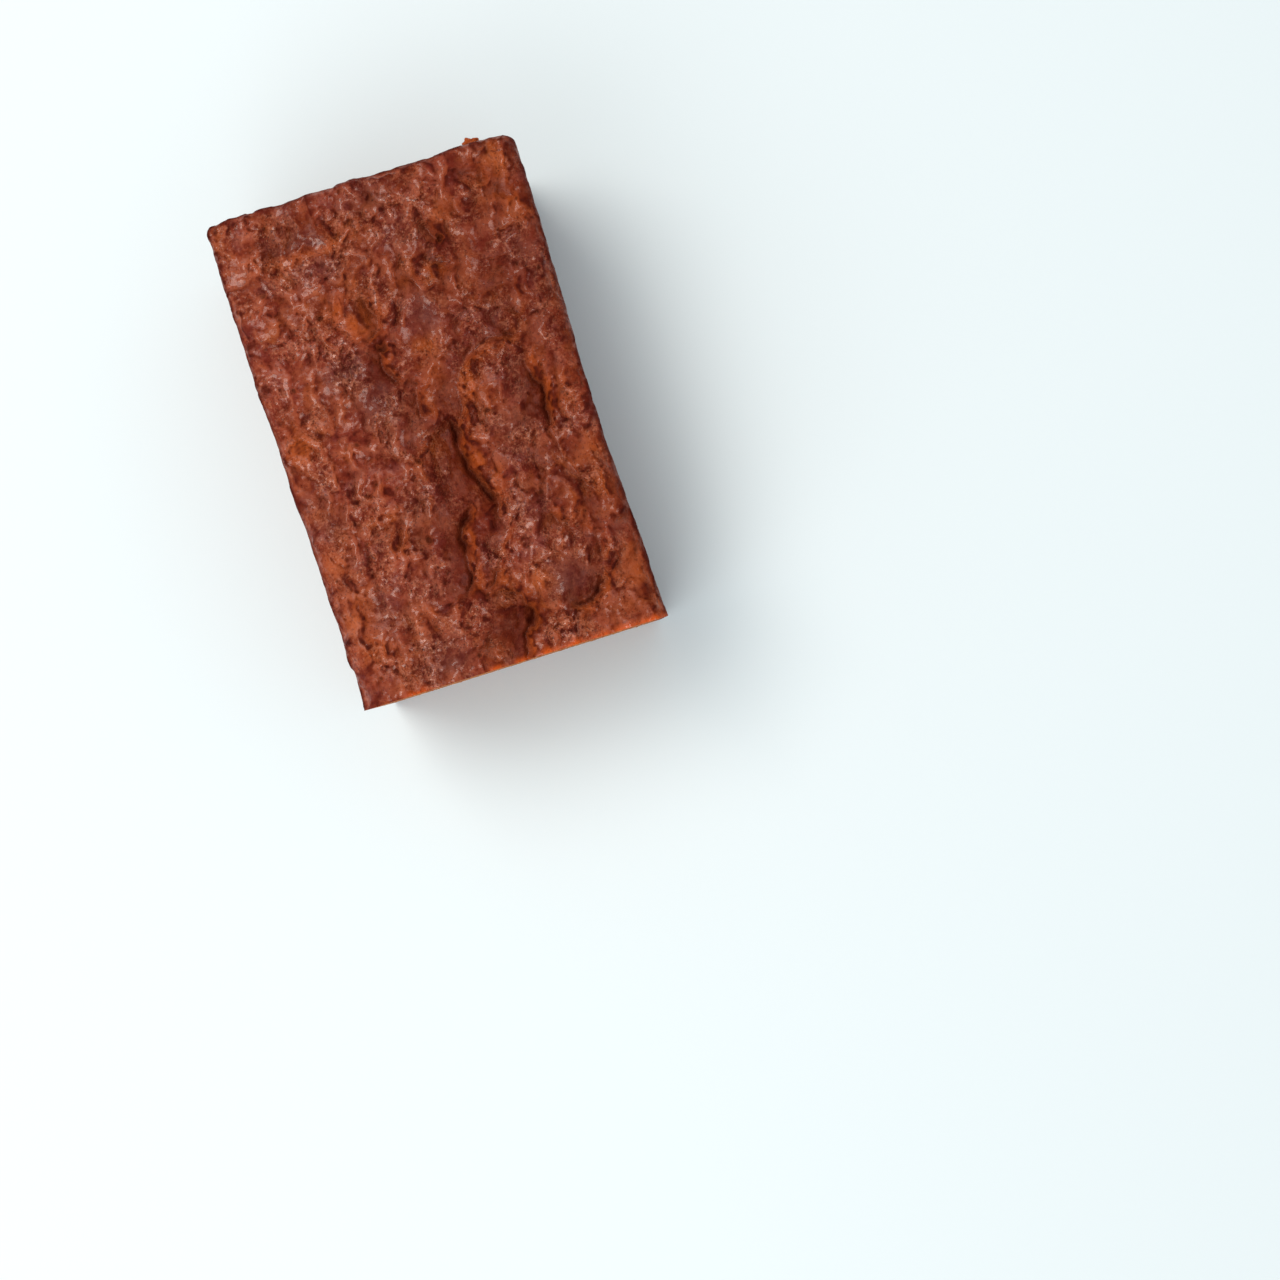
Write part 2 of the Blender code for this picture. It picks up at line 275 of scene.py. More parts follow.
AMBER = {
    "back right corner": (43, 78, 6, 7, 1.0),
    "below the corner": (45, 60, 5, 7, 0.75),
    "right back streak": (21, 65, 2.4, 5, 0.8),
    "walnut": (-15, 39, 4, 7, 1.0),
    "walnut neighbour": (-22, 43, 4, 4, 0.7),
    "upper middle": (4, 24, 3.2, 4, 1.0),
    "split middle": (2.5, 16, 3, 4, 0.75),
    "middle": (-1.5, 6, 3, 4, 0.8),
    "knob": (13, 46.5, 3.5, 2.2, 0.8),
    "knob side": (22, 43, 5, 6, 0.6),
    "left patch": (-47, 5, 4.5, 5, 0.9),
    "lip patch": (-4, -7, 4, 5, 0.75),
    "lip patch below": (-6, -36, 3, 4, 0.6),
    "right of the split": (8, -17, 3, 6, 0.9),
    "right of the split below": (13, -23, 4, 5, 0.7),
    "island side": (37.5, -5, 3, 6, 0.7),
    "right ridge": (44, -2, 5, 8, 0.45),
    "right ridge front": (45, -25, 4, 5, 0.9),
    "right ridge foot": (46, -36, 4, 6, 0.85),
    "right ridge end": (36, -39, 4, 6, 0.5),
    "cut corner": (48, -67, 5, 9, 0.7),
    "cut corner front": (42, -80, 9, 5, 0.35),
    "patch": (16, -62, 3, 4, 0.95),
    "patch below": (11.5, -67.5, 3, 3, 0.7),
    "patch above": (6, -56, 3, 4, 0.6),
    "left front": (-47, -36, 5, 5, 0.6),
    "left front second": (-46, -55, 5, 6, 0.75),
    "left front third": (-43, -66, 6, 5, 0.7),
    "front spot": (-24, -59, 4, 3, 0.6),
    "left spot": (-26, -27, 2, 3, 0.7),
    "notch hollow": (-3, -79, 6, 4, 0.6),
    "island bright": (14, 4, 5, 6, 0.45),
}
SMOOTH = {
    "smooth patch": (6, 35, 6, 7, 0.9),
    "blob front right": (27, -63, 7, 8, 0.75),
    "notch side": (4, -75, 5, 7, 0.8),
    "split side": (1, -22, 4, 12, 0.8),
    "inner side": (-8, -48, 4, 11, 0.8),
    "walnut": (-15, 38, 3.6, 6, 0.8),
    "right column": (28, 50, 5, 8, 0.5),
    "middle ridge": (-2, 24, 6, 7, 0.5),
    "corner": (43, 76, 5, 6, 0.6),
    "lump": (4, -37, 3, 5, 0.5),
}
# patches where the crust's colour is painted darker, over the middle strip, the right half and a few other
# places
DARKENED = {
    "centre front": (1, -71, 8, 16, 1.0),
    "centre": (0, -38, 9, 26, 0.75),
    "centre back": (-1, 2, 8, 20, 0.7),
    "upper right": (22, 54, 14, 14, 0.65),
    "right edge back": (46, 42, 8, 18, 0.6),
    "right edge": (44, 18, 8, 12, 0.45),
    "island side": (29, -4, 5, 10, 0.5),
    "right front": (36, -46, 8, 10, 0.5),
    "shade of the left": (-16, 18, 8, 10, 0.5),
    "back left": (-27, 74, 9, 8, 0.5),
    "cut right": (39, -76, 10, 8, 0.5),
    "right half": (34, 40, 26, 38, 0.8),
    "right half front": (38, -30, 16, 34, 0.6),
    "middle strip": (-2, -10, 12, 60, 0.6),
}
FROTHY = {
    "back left corner": (-48, 82, 6, 3.5, 1.0),
    "back left": (-36, 76, 5, 5, 1.0),
    "back left rim": (-34, 82, 4, 2, 0.8),
    "back left swelling": (-38, 66, 5, 3, 0.7),
    "back left lower": (-27, 63, 5, 4, 0.7),
    "back middle": (-2, 82, 7, 2.5, 0.9),
    "back right": (6, 73, 5, 5, 0.8),
    "back right second": (15, 73, 5, 4, 0.8),
    "back centre": (1, 66, 6, 4, 0.6),
    "below the walnut": (-26, 33, 6, 5, 0.9),
    "above the shade": (-22, 28, 5, 3, 0.7),
    "middle": (-12, 11.5, 5, 3, 0.8),
    "island rim": (16, 13.5, 6, 3.5, 0.9),
    "island front": (26, -13.5, 6, 3, 1.0),
    "left": (-46, -28, 5, 4, 0.6),
    "middle left": (-12, -22, 8, 6, 0.6),
    "right of the lump": (16, -40, 5, 7, 0.8),
    "below the lump": (4, -50, 5, 4, 0.9),
    "patch edge": (15, -57.5, 4, 2, 0.8),
    "blob edge": (-7, -65, 5, 4, 1.0),
    "notch side": (18, -79, 7, 6, 1.0),
    "hollow side": (24, -74.5, 5, 2.5, 0.9),
    "bight side": (41, -61, 4, 4, 0.7),
    "bight side below": (36, -66, 4, 3, 0.8),
    "front left": (-26, -71, 8, 4, 0.9),
    "right of the corner": (22, 38, 3, 4, 0.6),
    "left wall": (-50, -42, 3, 6, 0.5),
}
# stretches of the cut rim where orange crumb shows, as places across and reaches
TORN_RIM = ((-34.5, 4), (-6.5, 2.5), (2, 2.5), (12, 3.5), (21, 4), (30, 4), (38, 4), (47, 7))
print(len(DUSKY), "dusky,", len(AMBER), "amber and", len(DARKENED), "dark baked patches")
print(len(SMOOTH), "smooth and", len(FROTHY), "frothy patches")

# %% [markdown]
# ## Finding what is near
#
# There are nearly four hundred thousand points and over a hundred accidents, and most points are nowhere
# near most of them. So the accidents are sorted once into squares on the plan, and each point only looks
# into its own square.

# %% Eases
def smooth_step(low, high, value):
    """0 below low, 1 above high and an even ease between."""
    t = min(max((value - low) / (high - low), 0.0), 1.0)
    return t * t * (3.0 - 2.0 * t)


def bell(distance, reach):
    """1 at no distance, falling to almost nothing at twice the reach."""
    return math.exp(-((distance / reach) ** 2))


print("a quarter of the way is eased to", smooth_step(0.0, 1.0, 0.25))
print("at its reach a bell has fallen to", round(bell(1.0, 1.0), 2))

# %% Things on the plan
class Nearby:
    """Things on the plan, sorted into squares by the box that each one reaches."""
    SQUARE = 6.0

    def __init__(self):
        self.squares = {}

    def add(self, thing, low_x, low_y, high_x, high_y):
        for i in range(math.floor(low_x / self.SQUARE), math.floor(high_x / self.SQUARE) + 1):
            for j in range(math.floor(low_y / self.SQUARE), math.floor(high_y / self.SQUARE) + 1):
                self.squares.setdefault((i, j), []).append(thing)

    def at(self, x, y):
        return self.squares.get((math.floor(x / self.SQUARE), math.floor(y / self.SQUARE)), ())


class Patches(Nearby):
    """Soft round patches, each with its centre, its reach in X and in Y, and its strength."""

    def __init__(self, patches):
        super().__init__()
        for patch in patches.values():
            cx, cy, rx, ry = patch[:4]
            self.add(patch, cx - 2.2 * rx, cy - 2.2 * ry, cx + 2.2 * rx, cy + 2.2 * ry)

    def strengths(self, x, y):
        return [
            strength * bell((x - cx) / rx, 1.0) * bell((y - cy) / ry, 1.0)
            for cx, cy, rx, ry, strength in self.at(x, y)
        ]

    def strongest(self, x, y):
        return max(self.strengths(x, y), default=0.0)

    def total(self, x, y):
        return sum(self.strengths(x, y))


swellings, dusky, amber, baked = Patches(SWELLINGS), Patches(DUSKY), Patches(AMBER), Patches(DARKENED)
smooth, frothy = Patches(SMOOTH), Patches(FROTHY)
print(len(dusky.squares), "squares of the plan hold a dusky patch")

# %% Splits and holes on the plan
class Split:
    """One split: its shape across, and its route as straight runs."""

    def __init__(self, gentle, steep, depth, crack, points):
        self.gentle, self.steep, self.depth, self.crack = gentle, steep, depth, crack
        self.runs = [(Vector(a), Vector(b)) for a, b in zip(points, points[1:])]
        self.lengths = [(b - a).length for a, b in self.runs]

    def offset(self, here):
        """Distance to the route, negative on its right hand, and how far this is from its nearer end."""
        shortest, sign, nearer_end = math.inf, 1.0, 0.0
        covered = 0.0
        for (start, end), length in zip(self.runs, self.lengths):
            share = min(max(intersect_point_line(here, start, end)[1], 0.0), 1.0)
            away = here - start.lerp(end, share)
            if away.length < shortest:
                shortest = away.length
                sign = math.copysign(1.0, (end - start).cross(away))
                along = covered + share * length
                nearer_end = min(along, sum(self.lengths) - along)
            covered += length
        return sign * shortest, nearer_end


splits_nearby = Nearby()
for gentle, steep, depth, crack, points in SPLITS.values():
    margin = 2.2 * max(gentle, steep) + 2.0
    xs, ys = zip(*points)
    split = Split(gentle, steep, depth, crack, points)
    splits_nearby.add(split, min(xs) - margin, min(ys) - margin, max(xs) + margin, max(ys) + margin)
holes_nearby = Nearby()
for cx, cy, radius, depth in HOLES.values():
    margin = 2.0 * radius + 1.0
    holes_nearby.add((cx, cy, radius, depth), cx - margin, cy - margin, cx + margin, cy + margin)
print(len(splits_nearby.squares), "squares of the plan hold a split")

# %% [markdown]
# ## The relief of the crust
#
# The big shape comes first: the dome, slow waves and the swellings. The splits and holes are sunk into
# it. Under these accidents the whole top lies in folds, as a skin of batter does when it is pushed up
# from below. Each fold is longer than it is wide and has one steeper flank. Rounded pebbles of two sizes
# sit on the folds. Burst bubbles leave pits: some cells grown round scattered points get a round one near
# their middle, and most don't. Bending the space first keeps all of this from looking regular.

# %% The big shape of the top
def top_swell(x, y):
    """The big shape of the top above the block: dome, waves and swellings, before the splits."""
    across = 1.0 - abs(2.0 * x / WIDTH) ** 3
    back = smooth_step(0.25 * LENGTH, 0.5 * LENGTH, y)
    height = DOME_RISE * across - BACK_DROP * back
    height += WAVE_HEIGHT * noise.noise(Vector((x, y, 0.0)) / WAVE_SIZE)
    height += swellings.total(x, y)
    shoulder = SHOULDER_DROP * (1.0 - smooth_step(-0.5 * WIDTH, -0.5 * WIDTH + SHOULDER_REACH, x))
    return height - shoulder * (1.0 - smooth_step(-0.4 * LENGTH, 10.0, y))


print("the top's middle swells by", round(top_swell(0.0, 0.0), 1), "mm")

# %% Depth of the splits and holes
def openings(x, y, point):
    """Depth of the splits and holes, and how much of crack, rolled side and torn side is here."""
    here = Vector((x, y))
    depth = crack = rolled = torn = 0.0
    wander = 1.5 * noise.noise(point / 5.5) + 0.8 * noise.noise(point / 1.9)
    spread = 1.0 + 0.8 * noise.noise(point / 4.0 + Vector((3, 9, 2)))
    gaping = smooth_step(-0.3, 0.25, noise.noise(point / 7.0 + Vector((8, 2, 6))))
    for split in splits_nearby.at(x, y):
        offset, nearer_end = split.offset(here)
        offset += wander
        taper = smooth_step(0.0, 5.0, nearer_end)
        valley = taper * bell(offset, split.gentle if offset < 0.0 else split.steep)
        shut = 1.0 - 0.6 * smooth_step(0.8, 4.5, split.depth)
        valley *= 1.0 - 0.4 * shut * (1.0 - gaping)
        line = taper * bell(offset, 0.9 * spread) * (1.0 - shut * (1.0 - gaping))
        depth = max(depth, split.depth * valley + split.crack * line)
        # the crack value marks where the finish paints shade along the split's bottom
        shade = taper * bell(offset, 1.5 * spread) * (1.0 - shut * (1.0 - gaping))
        crack = max(crack, shade * min(1.0, 0.6 * split.crack))
        strength = smooth_step(0.8, 3.2, split.depth)
        # the rolled side faces away from the light, and the finish paints shade on it
        if offset < 0.0:
            rolled = max(rolled, strength * valley)
        # the torn side faces the light; the finish paints it orange, partly the torn crust's own colour and
        # partly painted light
        torn = max(torn, strength * taper * bell(offset - 2.6, 1.5))
    for cx, cy, radius, deepest in holes_nearby.at(x, y):
        distance = math.hypot(x - cx, y - cy) + 0.8 * wander * min(radius, 1.5)
        hole = 1.0 - smooth_step(0.1 * radius, 1.25 * radius, distance)
        depth = max(depth, deepest * hole)
        crack = max(crack, hole)
    return depth, crack, rolled, torn


middle_of_split = openings(4.5, -16.0, Vector((4.5, -16.0, HEIGHT)))
print("the main split is", round(middle_of_split[0], 1), "mm deep near its middle")

# %% Folds, pebbles and pits
FOLD_HEIGHT, FOLD_SIZE = 1.4, 10.5
WRINKLE_HEIGHT, WRINKLE_SIZE = 0.85, 4.8
RIPPLE_HEIGHT, RIPPLE_SIZE = 0.35, 2.4
COARSE_PEBBLE, FINE_PEBBLE = 3.4, 1.6
PIT_DEPTH = 0.8


def pits(point, spacing, share, radius):
    """Depth, from 0 to 1, of round pits scattered over a share of the cells of a given spacing."""
    distances, centres = noise.voronoi(point / spacing)
    if noise.cell(centres[0] * 17.3) > 2.0 * share - 1.0:
        return 0.0
    size = radius * (0.75 + 0.35 * noise.cell(centres[0] * 31.7 + Vector((5, 3, 1))))
    return 1.0 - smooth_step(0.35 * size, size, distances[0] * spacing)


def pebbles(point, spacing):
    """Height of rounded lumps, 1 at their middles and lowest where they meet."""
    nearest = noise.voronoi(point / spacing)[0][0]
    return 1.0 - min(1.0, 1.6 * nearest * nearest)


def folds(point, size):
    """Height of broad folds of skin, longer than they are wide, each with one steeper flank."""
    level = noise.noise(Vector((point.x, 0.65 * point.y, point.z)) / size)
    return 0.8 * level + 0.9 * smooth_step(-0.2, 0.14, level)


def crust_relief(point, plainness, froth):
    """Height of the crust's relief in millimetres, how deep in a pit this is, and how grainy the skin is.

    A plain stretch keeps little of the relief, and a frothy one has more small pebbles and pits.
    """
    bent = point + 2.0 * noise.noise_vector(point / 6.5) + 0.45 * noise.noise_vector(point / 2.2)
    patchy = smooth_step(-0.25, 0.3, noise.noise(point / 9.0 + Vector((5, 1, 8))))
    rough = 0.7 + 0.3 * smooth_step(-0.2, 0.2, noise.noise(point / 15.0 + Vector((2, 6, 4))))
    height = FOLD_HEIGHT * folds(bent, FOLD_SIZE)
    height += WRINKLE_HEIGHT * folds(bent + Vector((9, 4, 7)), WRINKLE_SIZE)
    height += RIPPLE_HEIGHT * noise.noise(bent / RIPPLE_SIZE)
    height += (0.3 + 0.45 * patchy) * pebbles(bent, COARSE_PEBBLE)
    height += (0.3 + 0.35 * froth) * pebbles(bent, FINE_PEBBLE)
    share = 0.24 + 0.2 * patchy + 0.25 * froth
    small_pit = pits(bent, 2.0, share, 0.66)
    large_pit = pits(bent + Vector((31, 7, 2)), 4.8, 0.2 + 0.5 * share, 0.95)
    pit = max(small_pit, large_pit)
    keep = rough * (1.0 - 0.8 * plainness)
    grainy = (1.0 - plainness) * max(froth, 0.55 * patchy)
    return keep * (height - 1.25 - PIT_DEPTH * pit), keep * pit, grainy


print("relief at the middle of the top:", [round(r, 2) for r in crust_relief(Vector((0, 0, HEIGHT)), 0, 0)])

# %% [markdown]
# ## Wrapping the block
#
# The block starts as a cube whose edges are cut into a fine grid, one axis at a time. Each point is then
# pushed out from an inner core so that the rims round off. This wraps one continuous grid round all six
# sides, with no pole and no seam, which a sphere or separate planes wouldn't give.

# %% The gridded cube
def gridded_cube():
    """A unit cube cut into a grid of cells."""
    bm = bmesh.new()
    bmesh.ops.create_cube(bm, size=1.0)
    for axis, cells in enumerate(CELLS):
        along = [e for e in bm.edges if abs(e.verts[0].co[axis] - e.verts[1].co[axis]) > 0.5]
        bmesh.ops.subdivide_edges(bm, edges=along, cuts=cells - 1, use_grid_fill=True)
    return bm


skin = gridded_cube()
print("a grid of", len(skin.verts), "points")

# %% From the cube to the loaf's smooth form
def round_rims(point):
    """The rounded place of a block point, the way out from the core there, and how far out it lies.

    How far out is 1 on the skin and less than 1 inside the cut face.
    """
    core = Vector((
        min(max(point.x, SIDE_RADIUS - WIDTH / 2), WIDTH / 2 - SIDE_RADIUS),
        min(point.y, LENGTH / 2 - SIDE_RADIUS),
        min(max(point.z, FOOT_RADIUS), HEIGHT - RIM_RADIUS),
    ))
    radii = (SIDE_RADIUS, SIDE_RADIUS, FOOT_RADIUS if point.z < core.z else RIM_RADIUS)
    out = Vector((point[i] - core[i]) / radii[i] for i in range(3))
    if out.length == 0.0:
        return point.copy(), out, 0.0
    reach = max(abs(part) for part in out)
    direction = out.normalized()
    rounded = Vector(core[i] + direction[i] * reach * radii[i] for i in range(3))
    return rounded, direction, reach


def off_square(point):
    """Lean the walls, shift and widen the uncut end and draw in the right wall's waist."""
    inset = (HEIGHT - point.z) * math.tan(WALL_LEAN)
    share = (point.y - FRONT) / LENGTH
    x = point.x * (1.0 - inset / (WIDTH / 2))
    waist = WAIST_DEPTH * bell(point.y - WAIST_PLACE, WAIST_REACH) * smooth_step(0.0, WIDTH / 2, x)
    x = x * (1.0 + BACK_WIDENING * share) + BACK_SHIFT * share - waist
    return Vector((x, point.y - inset * share, point.z))


back_corner = off_square(Vector((WIDTH / 2, LENGTH / 2, HEIGHT)))
print("the right back corner of the rim moves to", [round(part, 1) for part in back_corner])

# %% [markdown]
# ## Naming the six sides
#
# Before the cube is bent, each face still knows from its normal which side it belongs to. The side is
# kept as the face's material number, and the point's place on the cube as a value of the point, for the
# flat map that the textures are baked on. The cut face is cut once more, because its pores are finer than
# the crust's pebbling.

# %% Sides
SIDES = ("crust_left", "crust_right", "cut_face", "crust_back", "crust_base", "crust_top")
CUT = SIDES.index("cut_face")


def name_sides(bm):
    """Keep each face's side as its material number."""
    bm.normal_update()
    for face in bm.faces:
        axis = max(range(3), key=lambda i: abs(face.normal[i]))
        face.material_index = 2 * axis + (1 if face.normal[axis] > 0 else 0)


name_sides(skin)
cut_edges = {edge for face in skin.faces if face.material_index == CUT for edge in face.edges}
bmesh.ops.subdivide_edges(skin, edges=list(cut_edges), cuts=1, use_grid_fill=True)
place = skin.verts.layers.float_vector.new("place")
for vertex in skin.verts:
    vertex[place] = vertex.co
print("with a finer cut face:", len(skin.verts), "points")

# %% [markdown]
# ## The open crumb of the cut
#
# A knife opens the bubbles that the crust keeps shut. Small round pores cover the whole face, fewer middling
# ones lie among them, and here and there fruit has left a ragged hollow with a pale or a purple smear round
# it. The hollows are placed one by one. The pores are Voronoi pits in three sizes, slightly squashed, as
# bubbles are by the batter's weight.

# %% Hollows and smears of the cut face
# place across and up, reach in each direction, and depth
CAVITIES = {
    "ragged hollow": (18, 33, 2.6, 1.5, 2.6),
    "its far end": (21.5, 31.5, 1.6, 1.2, 1.8),
    "second hollow": (9, 33.5, 1.6, 1.0, 1.6),
    "right cavity": (35, 26, 2.2, 1.5, 2.2),
    "right hole": (39, 13, 1.6, 1.2, 2.2),
    "right cluster": (44.5, 26, 1.4, 2.2, 1.8),
    "upper hole": (0.5, 63, 1.4, 2.0, 2.0),
    "upper left hole": (-16, 54, 1.3, 1.3, 1.6),
    "low hole": (-18, 11, 2.0, 1.2, 1.7),
    "berry hollow": (-42.3, 14.5, 1.7, 1.7, 1.4),
    "rim hollow": (4, 73, 1.3, 1.0, 1.4),
}
# place across and up, reach in each direction, and strength
FRUIT = {
    "long smear": (12, 31.5, 9, 2.2, 1.0),
    "smear by the hollow": (19, 28.5, 6, 2.5, 0.8),
    "low smear": (-10, 8.5, 9, 3.2, 0.9),
    "right smear": (28, 15, 9, 4, 0.8),
    "high smear": (-27, 62, 3.5, 2, 0.45),
}
PLUM = {
    "berry": (-42.3, 14.5, 1.6, 1.8, 1.0),
    "berry trail": (-42, 24, 1.8, 4.5, 0.6),
    "base patch": (20, 6, 9, 3.5, 0.9),
    "left patch": (-47, 42, 3.5, 6, 0.7),
    "left corner": (-44, 7, 7, 3, 0.6),
    "right patch": (45, 24, 4, 7, 0.6),
    "right low patch": (40, 11, 6, 4, 0.5),
    "low left streak": (-27, 6, 8, 1.8, 0.5),
}
cavities, fruit, plum = Patches(CAVITIES), Patches(FRUIT), Patches(PLUM)
print(len(CAVITIES), "hollows,", len(FRUIT), "pale smears and", len(PLUM), "plum smears")

# %% Relief of the cut face
def crumb_relief(x, z):
    """Depth of the pores and hollows in millimetres, and how open the crumb is."""
    here = Vector((x, 31.0, z))
    bent = here + 0.8 * noise.noise_vector(here / 3.0) + 0.55 * noise.noise_vector(here / 1.2)
    squashed = Vector((bent.x * 0.85, 0.0, bent.z))
    fine = pits(squashed, 1.5, 0.6, 0.62)
    middling = pits(squashed + Vector((40, 3, 9)), 2.9, 0.55, 0.95)
    large = pits(squashed + Vector((7, 80, 5)), 8.0, 0.3, 1.6)
    hollow = 0.0
    depth = max(0.5 * fine, 1.0 * middling, 1.7 * large)
    for cx, cz, rx, rz, deepest in cavities.at(bent.x, bent.z):
        hole = 1.0 - smooth_step(0.5, 1.25, math.hypot((bent.x - cx) / rx, (bent.z - cz) / rz))
        hollow = max(hollow, hole)
        depth = max(depth, deepest * hole)
    grain = noise.turbulence(here / 2.4, 3, True)
    curd = 0.3 * noise.voronoi(bent / 1.7)[0][0] + 0.5 * (0.6 - grain)
    pore = max(0.6 * fine, middling, large, hollow)
    return depth + curd - 0.1, pore


print("crumb depth in the ragged hollow:", round(crumb_relief(18, 33)[0], 2), "mm")

# %% [markdown]
# ## Shaping the skin
#
# Every point now moves once. A point of the crust is rounded, set off square, lifted by the dome and
# pushed out or in by the relief. A point inside the cut face follows its nearest crust by how far out it
# lies, so the two stay joined, and is then pressed in by the crumb's pores. The values that the finishes
# will read are stored on the way.

# %% The values kept on each point
VALUES = (
    "crack", "rolled", "torn", "pit", "grainy", "dusk", "amber", "baked", "top", "rim",
    "hollow", "valley", "rind", "fruit",
)
layers = {name: skin.verts.layers.float.new(name) for name in VALUES}


def store(vertex, **values):
    """Keep the named values on a point."""
    for name, value in values.items():
        vertex[layers[name]] = value


print(len(layers), "values are kept on each point")

# %% Shaping the crust
CUT_DEPTH_BLEND = 20.0


def torn_rim(x, y, z):
    """How much orange crumb shows at a point near the cut edge."""
    orange = max(bell(x - centre, reach) for centre, reach in TORN_RIM)
    ragged = 1.3 + 1.1 * noise.noise(Vector((x, 0.0, z)) / 2.5)
    return bell(y - FRONT, ragged) * orange


def shape_crust(vertex, point):
    """Move a point of the skin, or of the zone just inside it, and keep its crust values."""
    rounded, direction, reach = round_rims(point)
    on_skin = rounded if reach == 0.0 else rounded + direction * SIDE_RADIUS * (1.0 - reach)
    x, y, _ = off_square(on_skin)
    top = smooth_step(0.1, 0.75, direction.z) if reach > 0.0 else 0.0
    lifted = smooth_step(HEIGHT - SETTLE_DEPTH, HEIGHT - RIM_RADIUS, rounded.z)
    near_top = smooth_step(HEIGHT - CUT_DEPTH_BLEND, HEIGHT, point.z)
    moved = off_square(rounded)
    moved.z += lifted * top_swell(x, y)
    crack = rolled = torn = 0.0
    if near_top > 0.0:
        depth, crack, rolled, torn = openings(x, y, on_skin)
        sink = Vector((0, 0, 1)) if reach < 1.0 else direction.lerp(Vector((0, 0, 1)), 0.5)
        moved -= sink * near_top * depth * (top if reach == 1.0 else 1.0)
    if reach > 0.0 and direction.z > -0.5:
        bent = on_skin + 3.0 * noise.noise_vector(on_skin / 7.0)
        bx, by, _ = off_square(bent)
        froth = min(1.0, frothy.strongest(bx, by)) * top
        plain = min(1.0, smooth.strongest(bx, by) + 0.6 * rolled) * top
        edge = 1.0 - smooth_step(3.0, 11.0, min(WIDTH / 2 - abs(x), LENGTH / 2 - y))
        relief, pit, grainy = crust_relief(on_skin, max(plain, 0.35 * edge), froth)
        relief += 0.5 * noise.noise(on_skin / 34.0)
        low = smooth_step(0.0, 3.0, on_skin.z)
        moved += direction * relief * (0.3 + 0.7 * top) * reach * low
        store(
            vertex, crack=crack * top, rolled=rolled * top, torn=torn * top, pit=pit, grainy=grainy * top,
            top=top, dusk=dusky.strongest(bx, by) * top, amber=amber.strongest(bx, by) * top,
            baked=baked.strongest(bx, by) * top, rim=torn_rim(x, y, on_skin.z),
        )
    return moved, reach


print("orange crumb shows along", len(TORN_RIM), "stretches of the cut rim")

# %% Shaping the cut
RIND_REACH = 3.2


def shape_crumb(vertex, point, moved):
    """Press the pores into a point of the cut face, and keep its crumb values."""
    x, z = point.x, point.z
    inside = min(WIDTH / 2 - abs(x), z, HEIGHT - z)
    depth, pore = crumb_relief(x, z)
    moved.y += depth * smooth_step(0.0, 1.2, inside)
    bent = Vector((x, 0, z)) + 2.0 * noise.noise_vector(Vector((x, 5.0, z)) / 5.0)
    store(
        vertex, pit=pore, rind=bell(inside, RIND_REACH) if inside < 4.0 * RIND_REACH else 0.0,
        fruit=fruit.strongest(bent.x, bent.z), dusk=plum.strongest(bent.x, bent.z),
    )


print("the rind fades out about", 2.0 * RIND_REACH, "mm inside the crust")

# %% Moving every point
MIDDLE_X = (LOAF_LOW.x + LOAF_HIGH.x) / 2
shift = Vector((MIDDLE_X - BACK_SHIFT * 0.5, LOAF_LOW.y - FRONT, LOAF_LOW.z))
for vertex in skin.verts:
    spot = vertex[place]
    block_point = Vector((spot.x * WIDTH, spot.y * LENGTH, (spot.z + 0.5) * HEIGHT))
    moved, reach = shape_crust(vertex, block_point)
    if reach < 1.0:
        shape_crumb(vertex, block_point, moved)
    vertex.co = (moved + shift) * MM
print("shaped", len(skin.verts), "points")

# %% [markdown]
# ## Cutting the skin into pieces
#
# The skin is cut into one piece for each side, because a separate piece gets its own full baked texture
# and stays light enough to print. The pieces must not show a seam, so the crust's normals are taken
# before it is cut and given to each piece as its own. The cut face is taken off first: its edge is a
# real, sharp edge. The flat part of the base is one face, because nothing but the plate ever sees it.
#
# Crevices get painted shade and crests painted light, whatever made them. To find them, a copy of the skin is
# smoothed until its bumps are gone: where the copy lies above the skin, the skin is hollow.

# %% Parting the skin and finding its hollows
# how often the copy is smoothed to find the small hollows, and the broad valleys
SMOOTHINGS = {"hollow": 10, "valley": 60}


def only(bm, keep):
    """A copy of a mesh with only the faces whose side is kept."""
    copy = bm.copy()
    gone = [face for face in copy.faces if face.material_index not in keep]
    bmesh.ops.delete(copy, geom=gone, context="FACES")
    return copy


def find_hollows(bm, name):
    """Keep on each point how far, in millimetres, it lies below a smoothed copy of the surface."""
    worn = bm.copy()
    for _ in range(SMOOTHINGS[name]):
        bmesh.ops.smooth_vert(
            worn, verts=worn.verts, factor=0.5, use_axis_x=True, use_axis_y=True, use_axis_z=True
        )
    hollow = bm.verts.layers.float[name]
    deepest = 0.0
    for vertex, smoothed in zip(bm.verts, worn.verts):
        vertex[hollow] = (smoothed.co - vertex.co).dot(vertex.normal) / MM
        deepest = max(deepest, vertex[hollow])
    worn.free()
    return deepest


cut_skin = only(skin, {CUT})
crust_skin = only(skin, set(range(len(SIDES))) - {CUT})
skin.free()
for shell in (cut_skin, crust_skin):
    bmesh.ops.recalc_face_normals(shell, faces=shell.faces)
    shell.normal_update()
    for name in SMOOTHINGS:
        print("the deepest", name, "lies", round(find_hollows(shell, name), 2), "mm below the smoothed skin")
if cut_skin.faces[:][0].normal.y > 0.0:
    bmesh.ops.reverse_faces(cut_skin, faces=cut_skin.faces)

# %% From a mesh to an object
FLAT_AXES = {"left": (1, 2), "right": (1, 2), "face": (0, 2), "back": (0, 2), "base": (0, 1), "top": (0, 1)}
MAP_MARGIN = 0.01


def lay_flat_map(bm, axes):
    """Map a side as it lay on the cube, so that no two of its faces overlap."""
    spot = bm.verts.layers.float_vector["place"]
    flat = bm.loops.layers.uv.new("OFBake")
    span = 1.0 - 2.0 * MAP_MARGIN
    for face in bm.faces:
        for loop in face.loops:
            loop[flat].uv = [MAP_MARGIN + span * (loop.vert[spot][axis] + 0.5) for axis in axes]


